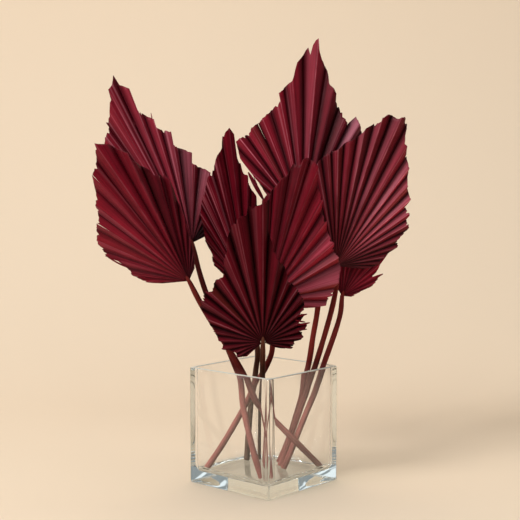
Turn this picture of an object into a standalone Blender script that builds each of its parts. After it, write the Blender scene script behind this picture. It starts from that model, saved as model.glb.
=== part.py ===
# Dyed fan palm leaves in a square clear glass vase.
# Eight trimmed, pleated leaves stand loose in the vase. Each leaf is one solid: a pleated fan blade
# raised from a fan of straight rays, joined to its petiole, whose foot rests on the vase's inner floor.
# Units: metres in Blender, millimetres in the tables below. +Z is up and the view from -Y is the front.
import bpy
import bmesh
import math
import random
import numpy as np

MM = 0.001

# Vase, in millimetres. It stands with a corner towards the front.
VASE_SIDE = 102.6
VASE_HEIGHT = 112.9
VASE_WALL = 3.4
VASE_BASE = 11.0
VASE_TURN = 48.35          # degrees about Z
VASE_CORNER_ROUND = 3.0    # outer upright edges
VASE_EDGE_ROUND = 1.2      # rim and foot
VASE_INNER_ROUND = 8.0

# Leaves, in millimetres and degrees.
BLADE_THICK = 0.9
PETIOLE_RADIUS = 3.0
FOOT_GAP = 0.25            # between a petiole's foot and the glass
BLADE_START = 2.2          # where the rays start, inside the petiole's end
PLEAT_RAMP = 22.0          # the pleats rise from nothing over this length
STATIONS = (24.0, 58.0, 96.0, 130.0)

# base: where the blade meets its petiole. tip: the end of the middle ray.
# turn: the face's turn about the middle ray, positive towards +X. fold: how far the left and the right
# half are folded back. curl: how far the tip bends out of the blade's plane, as a share of its length.
# left, right: the cut edge as (angle from the middle ray, length of the ray); an angle given twice is a
# step between two pleats. folds: the half pleats on the left and on the right, as their number or as the
# angles of the folds between them. tilt: how steep their faces are there, in degrees. crest: 1 where the
# middle ray is a ridge, -1 where it is a valley. stem: the petiole's path down to its foot.
LEAVES = {
    "leaf_back_left": dict(
        base=(-70.4, 24.0, 230.8), tip=(-149.5, 42.0, 395.6), turn=6, fold=(6, 12), curl=0.03,
        left=[(0, 183), (1.8, 174), (3.7, 171), (3.9, 162), (6.5, 153), (8, 148), (10.2, 147), (10.2, 141.5),
              (12.3, 137), (15, 131), (22, 120), (32, 102), (44, 84), (58, 56)],
        right=[(0, 183), (0.4, 172), (2.9, 163), (2.9, 140), (7.9, 128.5), (7.9, 120), (14.3, 112.5), (14.3, 99),
               (25.3, 90), (25.3, 80), (35.5, 77), (40, 73), (41, 60), (60, 46), (75, 36), (88, 24)],
        folds=(12, [2.9, 4.8, 7.9, 10.5, 14.3, 17.8, 25.3, 31.5, 40, 46, 52, 58, 64, 70, 76, 82]),
        tilt=(24, 36), crest=-1,
        stem=[(-58, 8, 189), (-33, -14, 129), (-22, -20, 101), (-18, -27, 75), (-9, -35, 38), (-1, -40, 0)]),
    "leaf_front_left": dict(
        base=(-69.9, -36.0, 199.1), tip=(-153.0, -46.0, 328.9), turn=-12, fold=(8, 38), curl=0.03,
        left=[(0, 154), (4.2, 141), (9.9, 129), (15, 117), (18.6, 112), (24.3, 104), (28, 102), (33, 98),
              (37.8, 94), (43.7, 83), (43.7, 73), (51.5, 59), (55.2, 57), (63.3, 41), (66.6, 27)],
        right=[(0, 154), (2.7, 148), (5.4, 138.5), (7.3, 132), (7.3, 125), (10.1, 118), (15.9, 102), (20.6, 103.6),
               (22.8, 98), (25.6, 84), (32, 53), (38.5, 36), (51, 20), (60, 15)],
        folds=(15, 16), tilt=(20, 42), crest=1,
        stem=[(-56, -34, 172), (-33, -26, 133), (-20, -24, 111), (-10, -19, 88), (2, -13, 70), (30, -11, 41),
              (54, 3, 0)]),
    "leaf_centre_left": dict(
        base=(-15.2, 2.0, 186.7), tip=(-33.6, 12.0, 341.7), turn=4, fold=(6, 28), curl=0.03,
        left=[(0, 157), (2.6, 151), (3.3, 141), (7.7, 129), (8.2, 125), (10.5, 118), (12.5, 116), (17.4, 103),
              (24.7, 89), (27.7, 80), (30, 71.5), (34.8, 63), (37.7, 50), (42.7, 46), (47.4, 42), (50.2, 30)],
        right=[(0, 157), (1.5, 151), (1.7, 130), (2.4, 123), (3.5, 123), (3.9, 114), (6.1, 110), (6.6, 104),
               (11, 92), (13.1, 83), (21.4, 65.5), (34, 46)],
        folds=(16, 12), tilt=(32, 36), crest=1,
        stem=[(-10, 6, 152), (-6, 12, 125), (-8, 17, 104), (-12, 25, 66), (-16, 36, 0)]),
    "leaf_front_low": dict(
        base=(-0.9, -52.0, 144.0), tip=(-1.0, -78.0, 275.7), turn=0, fold=(4, 10), curl=-0.03,
        left=[(0, 131), (3.3, 128), (6, 128), (7.8, 120), (9.6, 122), (14.2, 114.5), (19.2, 102), (20.6, 93),
              (25.3, 85), (26.4, 80), (30.4, 73), (36, 73.4), (43.8, 68), (49.1, 72.7), (62.3, 66), (64.9, 60),
              (77.2, 48.4), (94.5, 38), (102, 40), (105.3, 35), (112.5, 28), (123.7, 29), (134, 21)],
        right=[(0, 131), (1.2, 134), (2.8, 134), (2.8, 105), (5, 96), (9.1, 82), (17, 74), (22.6, 62), (32.4, 59.4),
               (44.7, 55), (52.5, 49), (52.5, 45), (59.3, 46.5), (63.8, 37), (70.7, 46), (75.9, 41), (76.7, 37),
               (85.4, 39), (91, 37), (92.4, 30), (105, 29.4), (117, 14)],
        folds=(24, 22), tilt=(32, 38), crest=1,
        stem=[(-1.2, -40.5, 127), (-1.5, -11.5, 84), (-1.8, 16.5, 46), (-2, 40, 0)]),
    "leaf_centre": dict(
        base=(2.1, -18.0, 178.3), tip=(38.5, -24.0, 320.1), turn=10, fold=(30, 12), curl=-0.02,
        left=[(0, 139), (0.7, 132), (2.8, 137), (4.3, 125), (5.3, 120.4), (6.9, 119), (9, 112), (12.4, 106),
              (20, 88), (32, 50)],
        right=[(0, 139), (1.3, 142), (4.5, 141), (6.6, 138.4), (11.1, 120), (19.8, 100), (27.7, 92.6), (37.6, 86.4),
               (43.8, 82.7), (56.3, 83.8), (62.9, 78), (74.8, 69.6), (76.1, 66), (84, 64), (86.2, 54),
               (91.2, 38), (110, 30)],
        folds=(8, [3.5, 7, 11, 15.5, 20, 24.5, 30.5, 38, 43.8, 48.5, 53.3, 66, 70, 75, 80, 86, 91, 97, 103]),
        tilt=(38, 30), crest=1,
        stem=[(7, -16, 150), (8, -14, 131), (3, -12, 116), (-6, -10, 99), (-19, -6, 72), (-37, -3, 40),
              (-54.5, -3, 0)]),
    "leaf_top": dict(
        base=(38.8, 32.0, 255.0), tip=(53.4, 42.0, 428.8), turn=0, fold=(10, 8), curl=0.03,
        left=[(0, 176), (1.8, 171), (4.2, 162), (6.9, 153), (8.6, 135.4), (10.4, 134), (15.3, 126), (15.3, 118),
              (24.4, 109), (28.4, 105), (35, 103), (35.6, 100), (46.2, 102), (47.8, 97), (51.7, 86), (53.7, 70),
              (56.4, 56), (66, 36)],
        right=[(0, 176), (0.7, 164), (1.9, 157.6), (5, 147), (6, 136), (10, 127), (10.4, 120.5), (15.5, 113),
               (17.4, 107), (21.1, 104), (22.9, 114.4), (30.1, 103.4), (40, 86), (52, 56)],
        folds=(15, 12), tilt=(30, 36), crest=1,
        stem=[(48, 27, 212), (53.5, 22, 175), (48, 17, 137), (44, 15, 112), (36, 15, 80), (25, 19, 42),
              (14, 23, 0)]),
    "leaf_right": dict(
        base=(70.9, 22.0, 208.3), tip=(130.8, 8.0, 354.9), turn=10, fold=(8, 8), curl=0.03,
        left=[(0, 158), (0.7, 155), (4.2, 156), (6.1, 151), (6.1, 147), (10.5, 138.5), (11.2, 134), (14.6, 126),
              (18, 123), (20.1, 118), (22, 114.5), (27.1, 111.6), (32.4, 105), (38, 84), (44, 46)],
        right=[(0, 158), (1.4, 160), (3.9, 154), (5, 141.4), (8.2, 132), (14.8, 117), (19.4, 106), (27, 98),
               (28.4, 90.4), (34.8, 89.5), (36.5, 83.5), (43, 83), (46.1, 72.4), (47.1, 67), (53, 67),
               (57.7, 56), (62.7, 46.4), (68.8, 45), (77, 29)],
        folds=(16, 23), tilt=(38, 33), crest=1,
        stem=[(71, 21, 188), (65, 16, 160), (50, 8, 111), (40.5, 7, 86), (31, 7, 60), (15, 9, 0)]),
    "leaf_right_low": dict(
        base=(78.0, 34.0, 177.5), tip=(121.0, 66.0, 320.0), turn=0, fold=(4, 4), curl=0.0,
        left=[(0, 150), (8, 130), (16, 116), (28, 92), (40, 62), (50, 36)],
        right=[(0, 150), (6, 136), (14, 116), (22, 96), (30, 70), (34, 51), (36.3, 47.6), (41.4, 37), (45.3, 51),
               (46.2, 42), (50.3, 38), (55.2, 32.4), (58.6, 20.3), (66, 14), (78, 10)],
        folds=(11, 18), tilt=(26, 26), crest=1,
        stem=[(74, 22, 155), (57.5, 3, 112), (49.5, 1, 90), (37, -1, 60), (18, -4, 0)]),
}

# Blade and petiole colours as seen in soft light, with roughness.
BLADE_COLOUR = {
    "leaf_back_left": (0.20, 0.022, 0.045), "leaf_front_left": (0.19, 0.020, 0.040),
    "leaf_centre_left": (0.14, 0.010, 0.030), "leaf_front_low": (0.17, 0.020, 0.030),
    "leaf_centre": (0.24, 0.022, 0.040), "leaf_top": (0.18, 0.018, 0.040),
    "leaf_right": (0.19, 0.018, 0.035), "leaf_right_low": (0.21, 0.018, 0.035),
}
BLADE_ROUGHNESS = 0.5
GLASS_COLOUR = (0.92, 0.95, 0.95)


def unit(v):
    """The vector at length one."""
    v = np.asarray(v, float)
    return v / np.linalg.norm(v)


class Blade:
    """A fan of rays from the blade's base. A point of it has a fan angle, a length and a height."""

    def __init__(self, spec):
        self.base = np.array(spec["base"], float)
        self.axis = unit(np.subtract(spec["tip"], spec["base"]))
        self.length = float(np.linalg.norm(np.subtract(spec["tip"], spec["base"])))
        front = np.array([0.0, -1.0, 0.0])
        front = unit(front - self.axis * (front @ self.axis))
        side = np.cross(self.axis, front)
        turn = math.radians(spec["turn"])
        self.side = side * math.cos(turn) - front * math.sin(turn)
        self.face = front * math.cos(turn) + side * math.sin(turn)
        self.fold = spec["fold"]
        self.curl = spec["curl"]

    def ray(self, angle):
        """Direction of the ray at a signed fan angle, each half folded back by its own amount."""
        fold = math.radians(self.fold[0] if angle < 0 else self.fold[1]) * min(1.0, abs(angle) / 20.0)
        swing = math.radians(abs(angle))
        across = math.copysign(1.0, angle) * self.side * math.cos(fold) - self.face * math.sin(fold)
        return self.axis * math.cos(swing) + across * math.sin(swing)

    def normal(self, angle):
        """Normal of the smooth, unpleated fan on the side that faces the viewer."""
        step = self.ray(angle + 0.5) - self.ray(angle - 0.5)
        return unit(np.cross(step, self.ray(angle)))

    def point(self, angle, length, height=0.0):
        """Base plus ray times length, moved along the normal by the height and by the curl."""
        bend = self.curl * length * length / self.length
        return self.base + self.ray(angle) * length + self.normal(angle) * (height + bend)


def edge_length(outline, angle, side_of_step):
    """Length of the cut edge at an angle, just before (-1) or just after (+1) a step there."""
    angle = angle + side_of_step * 1e-4
    if angle <= outline[0][0]:
        return outline[0][1]
    for (a0, r0), (a1, r1) in zip(outline, outline[1:]):
        if a0 <= angle <= a1 and a1 > a0:
            return r0 + (r1 - r0) * (angle - a0) / (a1 - a0)
    return outline[-1][1]


def fold_angles(outline, folds, draw):
    """Angles of the folds of one side, from the middle ray to the last ray of the outline."""
    end = outline[-1][0]
    if not isinstance(folds, int):
        return [0.0, *folds, end]
    width = end / folds
    steps = [a for (a, _), (b, _) in zip(outline, outline[1:]) if a == b]
    angles = [0.0]
    for k in range(1, folds):
        angle = width * (k + draw.uniform(-0.15, 0.15))
        near = [a for a in steps if abs(a - angle) < width * 0.5]
        angles.append(near[0] if near else angle)
    return angles + [end]


def fan_lines(spec, draw):
    """Folds from left to right as (angle, rise per length, cut edge to the left, cut edge to the right)."""
    lines = []
    for side, sign in enumerate((-1, 1)):
        outline = spec[("left", "right")[side]]
        angles = fold_angles(outline, spec["folds"][side], draw)
        slope = math.tan(math.radians(spec["tilt"][side]))
        last = len(angles) - 1
        for k, angle in enumerate(angles):
            before, after = angles[max(k - 1, 0)], angles[min(k + 1, last)]
            width = (after - before) / (2 if 0 < k < last else 1)
            turned = spec["crest"] * (1 if k % 2 == 0 else -1)
            rise = turned * 0.5 * math.radians(width) * slope * draw.uniform(0.85, 1.15)
            tooth = draw.uniform(-0.9, 0.7) if 0 < k < last else 0.0
            edges = [edge_length(outline, angle, -1) + tooth, edge_length(outline, angle, 1) + tooth]
            if k > 0 or sign > 0:
                lines.append((sign * angle, rise, *edges[::sign]))
    lines.sort(key=lambda line: line[0])
    return lines


def blade_mesh(name, spec):
    """Open pleated surface: every half pleat is a run of triangles zipped between two pleat lines."""
    draw = random.Random(name)
    blade = Blade(spec)
    lines = fan_lines(spec, draw)
    verts, faces, index = [], [], []

    def add(line, length):
        angle, rise, _, _ = line
        height = rise * length * min(1.0, max(0.0, (length - BLADE_START) / PLEAT_RAMP))
        verts.append([c * MM for c in blade.point(angle, length, height)])
        return len(verts) - 1

    ends = []
    for k, line in enumerate(lines):
        left, right = line[2], line[3]
        left = right if k == 0 else left
        right = left if k == len(lines) - 1 else right
        ends.append((left, right))
        lengths = {BLADE_START, left, right}
        lengths.update(s for s in STATIONS if s < max(left, right) - 6.0 and abs(s - min(left, right)) > 6.0)
        index.append({length: add(line, length) for length in sorted(lengths)})
    for k in range(len(lines) - 1):
        a = [(s, i) for s, i in index[k].items() if s <= ends[k][1] + 1e-9]
        b = [(s, i) for s, i in index[k + 1].items() if s <= ends[k + 1][0] + 1e-9]
        i = j = 0
        while i < len(a) - 1 or j < len(b) - 1:
            step_a = j == len(b) - 1 or (i < len(a) - 1 and a[i + 1][0] <= b[j + 1][0])
            if step_a:
                faces.append((a[i][1], b[j][1], a[i + 1][1]))
                i += 1
            else:
                faces.append((a[i][1], b[j][1], b[j + 1][1]))
                j += 1
    mesh = bpy.data.meshes.new(name)
    mesh.from_pydata(verts, [], faces)
    work = bmesh.new()
    work.from_mesh(mesh)
    bmesh.ops.recalc_face_normals(work, faces=work.faces)
    work.to_mesh(mesh)
    work.free()
    return mesh


def smooth_path(points, step):
    """Points about one step apart along a Catmull-Rom curve through the given points."""
    pts = [np.array(p, float) for p in points]
    pts = [2 * pts[0] - pts[1]] + pts + [2 * pts[-1] - pts[-2]]
    out = []
    for p0, p1, p2, p3 in zip(pts, pts[1:], pts[2:], pts[3:]):
        count = max(1, round(float(np.linalg.norm(p2 - p1)) / step))
        for k in range(count):
            t = k / count
            out.append(0.5 * (2 * p1 + (p2 - p0) * t + (2 * p0 - 5 * p1 + 4 * p2 - p3) * t * t
                              + (3 * p1 - p0 - 3 * p2 + p3) * t ** 3))
    out.append(pts[-2])
    return out


def petiole_object(name, spec, collection):
    """Round petiole: a bevelled curve from inside the blade's base down to the vase's floor."""
    blade = Blade(spec)
    stem = [list(p) for p in spec["stem"]]
    for _ in range(4):
        path = smooth_path([spec["base"]] + stem, 17.0)
        lean = math.sqrt(1.0 - unit(path[-1] - path[-2])[2] ** 2)
        stem[-1][2] = VASE_BASE + FOOT_GAP + PETIOLE_RADIUS * lean
    path = smooth_path([spec["base"]] + stem, 17.0)
    path = [blade.point(0, 9.0, -1.7), blade.point(0, 4.0, -0.8)] + path
    curve = bpy.data.curves.new(name, "CURVE")
    curve.dimensions = "3D"
    curve.bevel_depth = PETIOLE_RADIUS * MM
    curve.bevel_resolution = 2
    curve.use_fill_caps = True
    spline = curve.splines.new("POLY")
    spline.points.add(len(path) - 1)
    for k, (point, p) in enumerate(zip(spline.points, path)):
        point.co = (*(c * MM for c in p), 1.0)
        point.radius = (0.42, 0.72)[k] if k < 2 else min(1.0, 0.86 + 0.14 * k / len(path))
    tube = bpy.data.objects.new(name, curve)
    collection.objects.link(tube)
    graph = bpy.context.evaluated_depsgraph_get()
    mesh = bpy.data.meshes.new_from_object(tube.evaluated_get(graph))
    work = bmesh.new()
    work.from_mesh(mesh)
    bmesh.ops.remove_doubles(work, verts=work.verts, dist=0.00002)
    bmesh.ops.recalc_face_normals(work, faces=work.faces)
    work.to_mesh(mesh)
    work.free()
    solid = bpy.data.objects.new(name, mesh)
    solid.matrix_world = tube.matrix_world
    collection.objects.link(solid)
    bpy.data.objects.remove(tube)
    return solid


def apply_modifiers(obj):
    """Replaces the object's mesh by its evaluated one."""
    graph = bpy.context.evaluated_depsgraph_get()
    mesh = bpy.data.meshes.new_from_object(obj.evaluated_get(graph))
    obj.modifiers.clear()
    obj.data = mesh


def material(name, colour, roughness, transmission=0.0):
    """Principled material of one colour."""
    mat = bpy.data.materials.new(name)
    mat.use_nodes = True
    shader = mat.node_tree.nodes["Principled BSDF"]
    shader.inputs["Base Color"].default_value = (*colour, 1.0)
    shader.inputs["Roughness"].default_value = roughness
    shader.inputs["Metallic"].default_value = 0.0
    shader.inputs["Transmission Weight"].default_value = transmission
    mat.diffuse_color = (*colour, 1.0)
    return mat


def make_leaf(name, spec, parts, cutters):
    """Blade of even thickness joined to its petiole as one solid."""
    leaf = bpy.data.objects.new(name, blade_mesh(name, spec))
    parts.objects.link(leaf)
    thick = leaf.modifiers.new("thickness", "SOLIDIFY")
    thick.thickness = BLADE_THICK * MM
    thick.offset = 0.0
    apply_modifiers(leaf)
    petiole = petiole_object(name + "_petiole", spec, cutters)
    petiole.hide_render = True
    petiole.display_type = "WIRE"
    blade = leaf.data
    for solver in ("EXACT", "MANIFOLD"):
        leaf.data = blade
        join = leaf.modifiers.new("petiole", "BOOLEAN")
        join.operation = "UNION"
        join.solver = solver
        join.object = petiole
        apply_modifiers(leaf)
        if leaf.data.polygons:
            break
    bpy.data.objects.remove(petiole)
    leaf.data.materials.clear()
    leaf.data.materials.append(material(name + "_dyed_leaf", BLADE_COLOUR[name], BLADE_ROUGHNESS))
    return leaf


def make_vase(parts, cutters):
    """Square vase: a block with rounded edges, hollowed by a block with rounder ones."""

    def block(name, side, low, high, corner_round, edge_round, collection):
        mesh = bpy.data.meshes.new(name)
        work = bmesh.new()
        bmesh.ops.create_cube(work, size=1.0)
        bmesh.ops.scale(work, vec=(side * MM, side * MM, (high - low) * MM), verts=work.verts)
        bmesh.ops.translate(work, vec=(0, 0, (high + low) * 0.5 * MM), verts=work.verts)
        upright = [e for e in work.edges if abs(e.verts[0].co.z - e.verts[1].co.z) > side * MM * 0.5]
        bmesh.ops.bevel(work, geom=upright, offset=corner_round * MM, segments=6, profile=0.5, affect="EDGES")
        work.to_mesh(mesh)
        work.free()
        obj = bpy.data.objects.new(name, mesh)
        collection.objects.link(obj)
        obj.rotation_euler[2] = math.radians(VASE_TURN)
        bevel = obj.modifiers.new("round", "BEVEL")
        bevel.width = edge_round * MM
        bevel.segments = 5 if edge_round > 2.0 else 2
        bevel.limit_method = "ANGLE"
        bevel.angle_limit = math.radians(50)
        return obj

    vase = block("vase", VASE_SIDE, 0.0, VASE_HEIGHT, VASE_CORNER_ROUND, VASE_EDGE_ROUND, parts)
    hollow = block("vase_hollow", VASE_SIDE - 2 * VASE_WALL, VASE_BASE, VASE_HEIGHT + 20.0,
                   VASE_INNER_ROUND, VASE_INNER_ROUND * 0.98, cutters)
    hollow.hide_render = True
    hollow.display_type = "WIRE"
    cut = vase.modifiers.new("hollow", "BOOLEAN")
    cut.operation = "DIFFERENCE"
    cut.object = hollow
    vase.data.materials.append(material("clear_glass", GLASS_COLOUR, 0.03, 1.0))
    return vase


def main():
    """Clears the scene and builds the vase and the eight leaves."""
    for obj in list(bpy.data.objects):
        bpy.data.objects.remove(obj)
    parts = bpy.data.collections.new("fan_palm_leaves_in_vase")
    cutters = bpy.data.collections.new("cutters")
    bpy.context.scene.collection.children.link(parts)
    bpy.context.scene.collection.children.link(cutters)
    make_vase(parts, cutters)
    for name, spec in LEAVES.items():
        make_leaf(name, spec, parts, cutters)


main()
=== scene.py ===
"""Looks for dyed fan palm leaves standing in a square clear glass vase.

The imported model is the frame. Finer blades, petioles and glass replace its nodes, in the same places.
Lengths in the tables are millimetres, in Blender they are metres. +Z is up and the front is -Y.
"""

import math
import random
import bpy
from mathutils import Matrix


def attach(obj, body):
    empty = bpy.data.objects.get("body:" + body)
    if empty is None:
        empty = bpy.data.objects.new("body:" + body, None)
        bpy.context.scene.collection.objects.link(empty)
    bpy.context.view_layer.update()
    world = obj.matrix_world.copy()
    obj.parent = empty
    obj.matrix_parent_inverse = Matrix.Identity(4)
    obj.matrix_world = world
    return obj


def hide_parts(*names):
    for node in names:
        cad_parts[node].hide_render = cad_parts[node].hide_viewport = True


bl_info = {
    "name": "Fan palm leaves in a glass vase",
    "version": (1, 0, 0),
    "blender": (4, 5, 0),
    "location": "View3D > Sidebar > Palm",
    "description": "Pleated, dyed fan palm leaves in a square glass vase, with a soft beige studio",
    "category": "Object",
}

import bpy
import bmesh
import numpy as np
from bpy.props import FloatProperty, FloatVectorProperty, IntProperty, PointerProperty
from bpy.types import Operator, Panel, PropertyGroup
from mathutils import Matrix

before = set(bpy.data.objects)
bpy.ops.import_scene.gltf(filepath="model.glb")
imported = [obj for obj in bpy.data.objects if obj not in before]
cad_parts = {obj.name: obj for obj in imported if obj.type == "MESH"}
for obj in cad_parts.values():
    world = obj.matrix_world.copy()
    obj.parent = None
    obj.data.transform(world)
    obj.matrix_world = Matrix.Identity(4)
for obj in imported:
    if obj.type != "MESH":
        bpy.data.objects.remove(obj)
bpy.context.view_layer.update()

MM = 0.001
BLADE_START = 2.2       # length at which a blade begins
PLEAT_RAMP = 22.0       # length over which the pleats rise to their full slope
FOLD_GROWTH = 20.0      # degrees from the middle ray over which the fold across it grows
EDGE_INSET = 0.3        # how far the cut edge stays inside the frame's outline
FIBRE_REACH = 70.0      # length at which the spacing of the fibres is true
PATH_STEP = 2.5         # distance between the rings of a petiole
PETIOLE_SIDES = 28
CORNER_POINTS = 13
POLE = 1e-5             # half width of the rings that close the vase's base and floor, in metres
GLASS_IOR = 1.47
FIBRE_GROUP = "dried_fibres"
COLOUR = dict(subtype="COLOR", size=3, min=0.0, max=1.0)

# The same leaves as in the frame: base and tip of the middle ray, turn and fold of the face, curl, cut
# edge to the left and right as angle, length, angle, length and so on, half pleats left and right as their
# number or as the angles of the folds, tilt of their faces, crest -1 for a valley in the middle, where the
# others have a ridge, and the petiole's path.
LEAVES = {
    "leaf_back_left": dict(
        base=(-70.4, 24, 230.8), tip=(-149.5, 42, 395.6), turn=6, fold=(6, 12), curl=0.03,
        left=(0, 183, 1.8, 174, 3.7, 171, 3.9, 162, 6.5, 153, 8, 148, 10.2, 147, 10.2, 141.5, 12.3, 137,
            15, 131, 22, 120, 32, 102, 44, 84, 58, 56),
        right=(0, 183, 0.4, 172, 2.9, 163, 2.9, 140, 7.9, 128.5, 7.9, 120, 14.3, 112.5, 14.3, 99, 25.3, 90,
            25.3, 80, 35.5, 77, 40, 73, 41, 60, 60, 46, 75, 36, 88, 24),
        folds=(12, [2.9, 4.8, 7.9, 10.5, 14.3, 17.8, 25.3, 31.5, 40, 46, 52, 58, 64, 70, 76, 82]),
        tilt=(24, 36), crest=-1,
        stem=[(-58, 8, 189), (-33, -14, 129), (-22, -20, 101), (-18, -27, 75), (-9, -35, 38), (-1, -40, 0)]),
    "leaf_front_left": dict(
        base=(-69.9, -36, 199.1), tip=(-153, -46, 328.9), turn=-12, fold=(8, 38), curl=0.03,
        left=(0, 154, 4.2, 141, 9.9, 129, 15, 117, 18.6, 112, 24.3, 104, 28, 102, 33, 98, 37.8, 94,
            43.7, 83, 43.7, 73, 51.5, 59, 55.2, 57, 63.3, 41, 66.6, 27),
        right=(0, 154, 2.7, 148, 5.4, 138.5, 7.3, 132, 7.3, 125, 10.1, 118, 15.9, 102, 20.6, 103.6,
            22.8, 98, 25.6, 84, 32, 53, 38.5, 36, 51, 20, 60, 15),
        folds=(15, 16), tilt=(20, 42),
        stem=[(-56, -34, 172), (-33, -26, 133), (-20, -24, 111), (-10, -19, 88), (2, -13, 70), (30, -11, 41),
              (54, 3, 0)]),
    "leaf_centre_left": dict(
        base=(-15.2, 2, 186.7), tip=(-33.6, 12, 341.7), turn=4, fold=(6, 28), curl=0.03,
        left=(0, 157, 2.6, 151, 3.3, 141, 7.7, 129, 8.2, 125, 10.5, 118, 12.5, 116, 17.4, 103, 24.7, 89,
            27.7, 80, 30, 71.5, 34.8, 63, 37.7, 50, 42.7, 46, 47.4, 42, 50.2, 30),
        right=(0, 157, 1.5, 151, 1.7, 130, 2.4, 123, 3.5, 123, 3.9, 114, 6.1, 110, 6.6, 104, 11, 92,
            13.1, 83, 21.4, 65.5, 34, 46),
        folds=(16, 12), tilt=(32, 36),
        stem=[(-10, 6, 152), (-6, 12, 125), (-8, 17, 104), (-12, 25, 66), (-16, 36, 0)]),
    "leaf_front_low": dict(
        base=(-0.9, -52, 144), tip=(-1, -78, 275.7), turn=0, fold=(4, 10), curl=-0.03,
        left=(0, 131, 3.3, 128, 6, 128, 7.8, 120, 9.6, 122, 14.2, 114.5, 19.2, 102, 20.6, 93, 25.3, 85,
            26.4, 80, 30.4, 73, 36, 73.4, 43.8, 68, 49.1, 72.7, 62.3, 66, 64.9, 60, 77.2, 48.4, 94.5, 38,
            102, 40, 105.3, 35, 112.5, 28, 123.7, 29, 134, 21),
        right=(0, 131, 1.2, 134, 2.8, 134, 2.8, 105, 5, 96, 9.1, 82, 17, 74, 22.6, 62, 32.4, 59.4, 44.7, 55,
            52.5, 49, 52.5, 45, 59.3, 46.5, 63.8, 37, 70.7, 46, 75.9, 41, 76.7, 37, 85.4, 39, 91, 37,
            92.4, 30, 105, 29.4, 117, 14),
        folds=(24, 22), tilt=(32, 38),
        stem=[(-1.2, -40.5, 127), (-1.5, -11.5, 84), (-1.8, 16.5, 46), (-2, 40, 0)]),
    "leaf_centre": dict(
        base=(2.1, -18, 178.3), tip=(38.5, -24, 320.1), turn=10, fold=(30, 12), curl=-0.02,
        left=(0, 139, 0.7, 132, 2.8, 137, 4.3, 125, 5.3, 120.4, 6.9, 119, 9, 112, 12.4, 106, 20, 88, 32, 50),
        right=(0, 139, 1.3, 142, 4.5, 141, 6.6, 138.4, 11.1, 120, 19.8, 100, 27.7, 92.6, 37.6, 86.4,
            43.8, 82.7, 56.3, 83.8, 62.9, 78, 74.8, 69.6, 76.1, 66, 84, 64, 86.2, 54, 91.2, 38, 110, 30),
        folds=(8, [3.5, 7, 11, 15.5, 20, 24.5, 30.5, 38, 43.8, 48.5, 53.3, 66, 70, 75, 80, 86, 91, 97, 103]),
        tilt=(38, 30),
        stem=[(7, -16, 150), (8, -14, 131), (3, -12, 116), (-6, -10, 99), (-19, -6, 72), (-37, -3, 40),
              (-54.5, -3, 0)]),
    "leaf_top": dict(
        base=(38.8, 32, 255), tip=(53.4, 42, 428.8), turn=0, fold=(10, 8), curl=0.03,
        left=(0, 176, 1.45, 173, 2.1, 158, 2.75, 172, 4.2, 162, 6.9, 153, 8.6, 135.4, 10.4, 134, 15.3, 126,
            15.3, 118, 24.4, 109, 28.4, 105, 35, 103, 35.6, 100, 46.2, 102, 47.8, 97, 51.7, 86, 53.7, 70,
            56.4, 56, 66, 36),
        right=(0, 176, 0.7, 164, 1.9, 157.6, 5, 147, 6, 136, 10, 127, 10.4, 120.5, 15.5, 113, 17.4, 107,
            21.1, 104, 22.9, 114.4, 30.1, 103.4, 40, 86, 52, 56),
        folds=(15, 12), tilt=(30, 36),
        stem=[(48, 27, 212), (53.5, 22, 175), (48, 17, 137), (44, 15, 112), (36, 15, 80), (25, 19, 42),
              (14, 23, 0)]),
    "leaf_right": dict(
        base=(70.9, 22, 208.3), tip=(130.8, 8, 354.9), turn=10, fold=(8, 8), curl=0.03,
        left=(0, 158, 0.7, 155, 4.2, 156, 6.1, 151, 6.1, 147, 10.5, 138.5, 11.2, 134, 14.6, 126, 18, 123,
            20.1, 118, 22, 114.5, 27.1, 111.6, 32.4, 105, 38, 84, 44, 46),
        right=(0, 158, 1.4, 160, 3.9, 154, 5, 141.4, 8.2, 132, 14.8, 117, 19.4, 106, 27, 98, 28.4, 90.4,
            34.8, 89.5, 36.5, 83.5, 43, 83, 46.1, 72.4, 47.1, 67, 53, 67, 57.7, 56, 62.7, 46.4, 68.8, 45,
            77, 29),
        folds=(16, 23), tilt=(38, 33),
        stem=[(71, 21, 188), (65, 16, 160), (50, 8, 111), (40.5, 7, 86), (31, 7, 60), (15, 9, 0)]),
    "leaf_right_low": dict(
        base=(78, 34, 177.5), tip=(121, 66, 320), turn=0, fold=(4, 4), curl=0,
        left=(0, 150, 8, 130, 16, 116, 28, 92, 40, 62, 50, 36),
        right=(0, 150, 6, 136, 14, 116, 22, 96, 30, 70, 34, 51, 36.3, 47.6, 41.4, 37, 45.3, 51, 46.2, 42,
            50.3, 38, 55.2, 32.4, 58.6, 20.3, 66, 14, 78, 10),
        folds=(11, 18), tilt=(26, 26),
        stem=[(74, 22, 155), (57.5, 3, 112), (49.5, 1, 90), (37, -1, 60), (18, -4, 0)]),
}

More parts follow.
